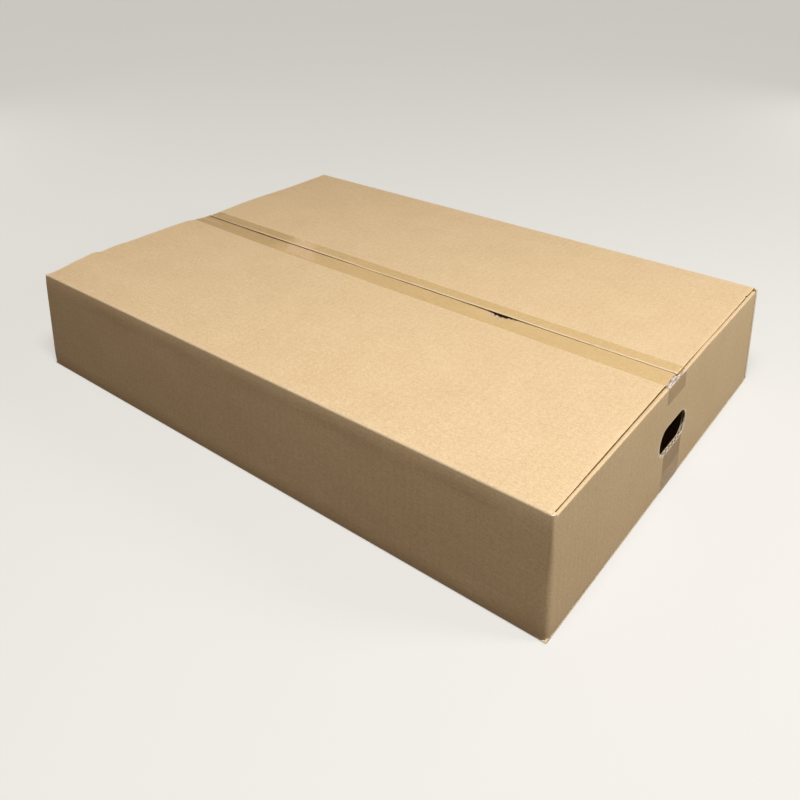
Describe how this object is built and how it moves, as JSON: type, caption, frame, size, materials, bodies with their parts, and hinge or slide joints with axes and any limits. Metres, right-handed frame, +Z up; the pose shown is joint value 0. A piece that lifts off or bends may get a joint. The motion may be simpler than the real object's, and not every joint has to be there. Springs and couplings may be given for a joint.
{
  "type": "cardboard box",
  "caption": "Flat rectangular corrugated shipping box with folded flaps, stadium hand holes in both ends and packing tape along its top and bottom seams.",
  "frame": {"origin": "centre of the underside, on the surface the box stands on", "axes": "+X along the length towards the end whose back corner has the glued lap, -Y towards the front, +Z up"},
  "size_m": [0.7402, 0.53, 0.1377],
  "materials": {
    "board": "brown kraft liner, matt, with a fine fibre speckle",
    "tape": "clear tan film with a smooth gloss"
  },
  "bodies": {
    "root": {"carton": "board", "top_tape": "tape", "bottom_tape": "tape"}
  },
  "joints": []
}
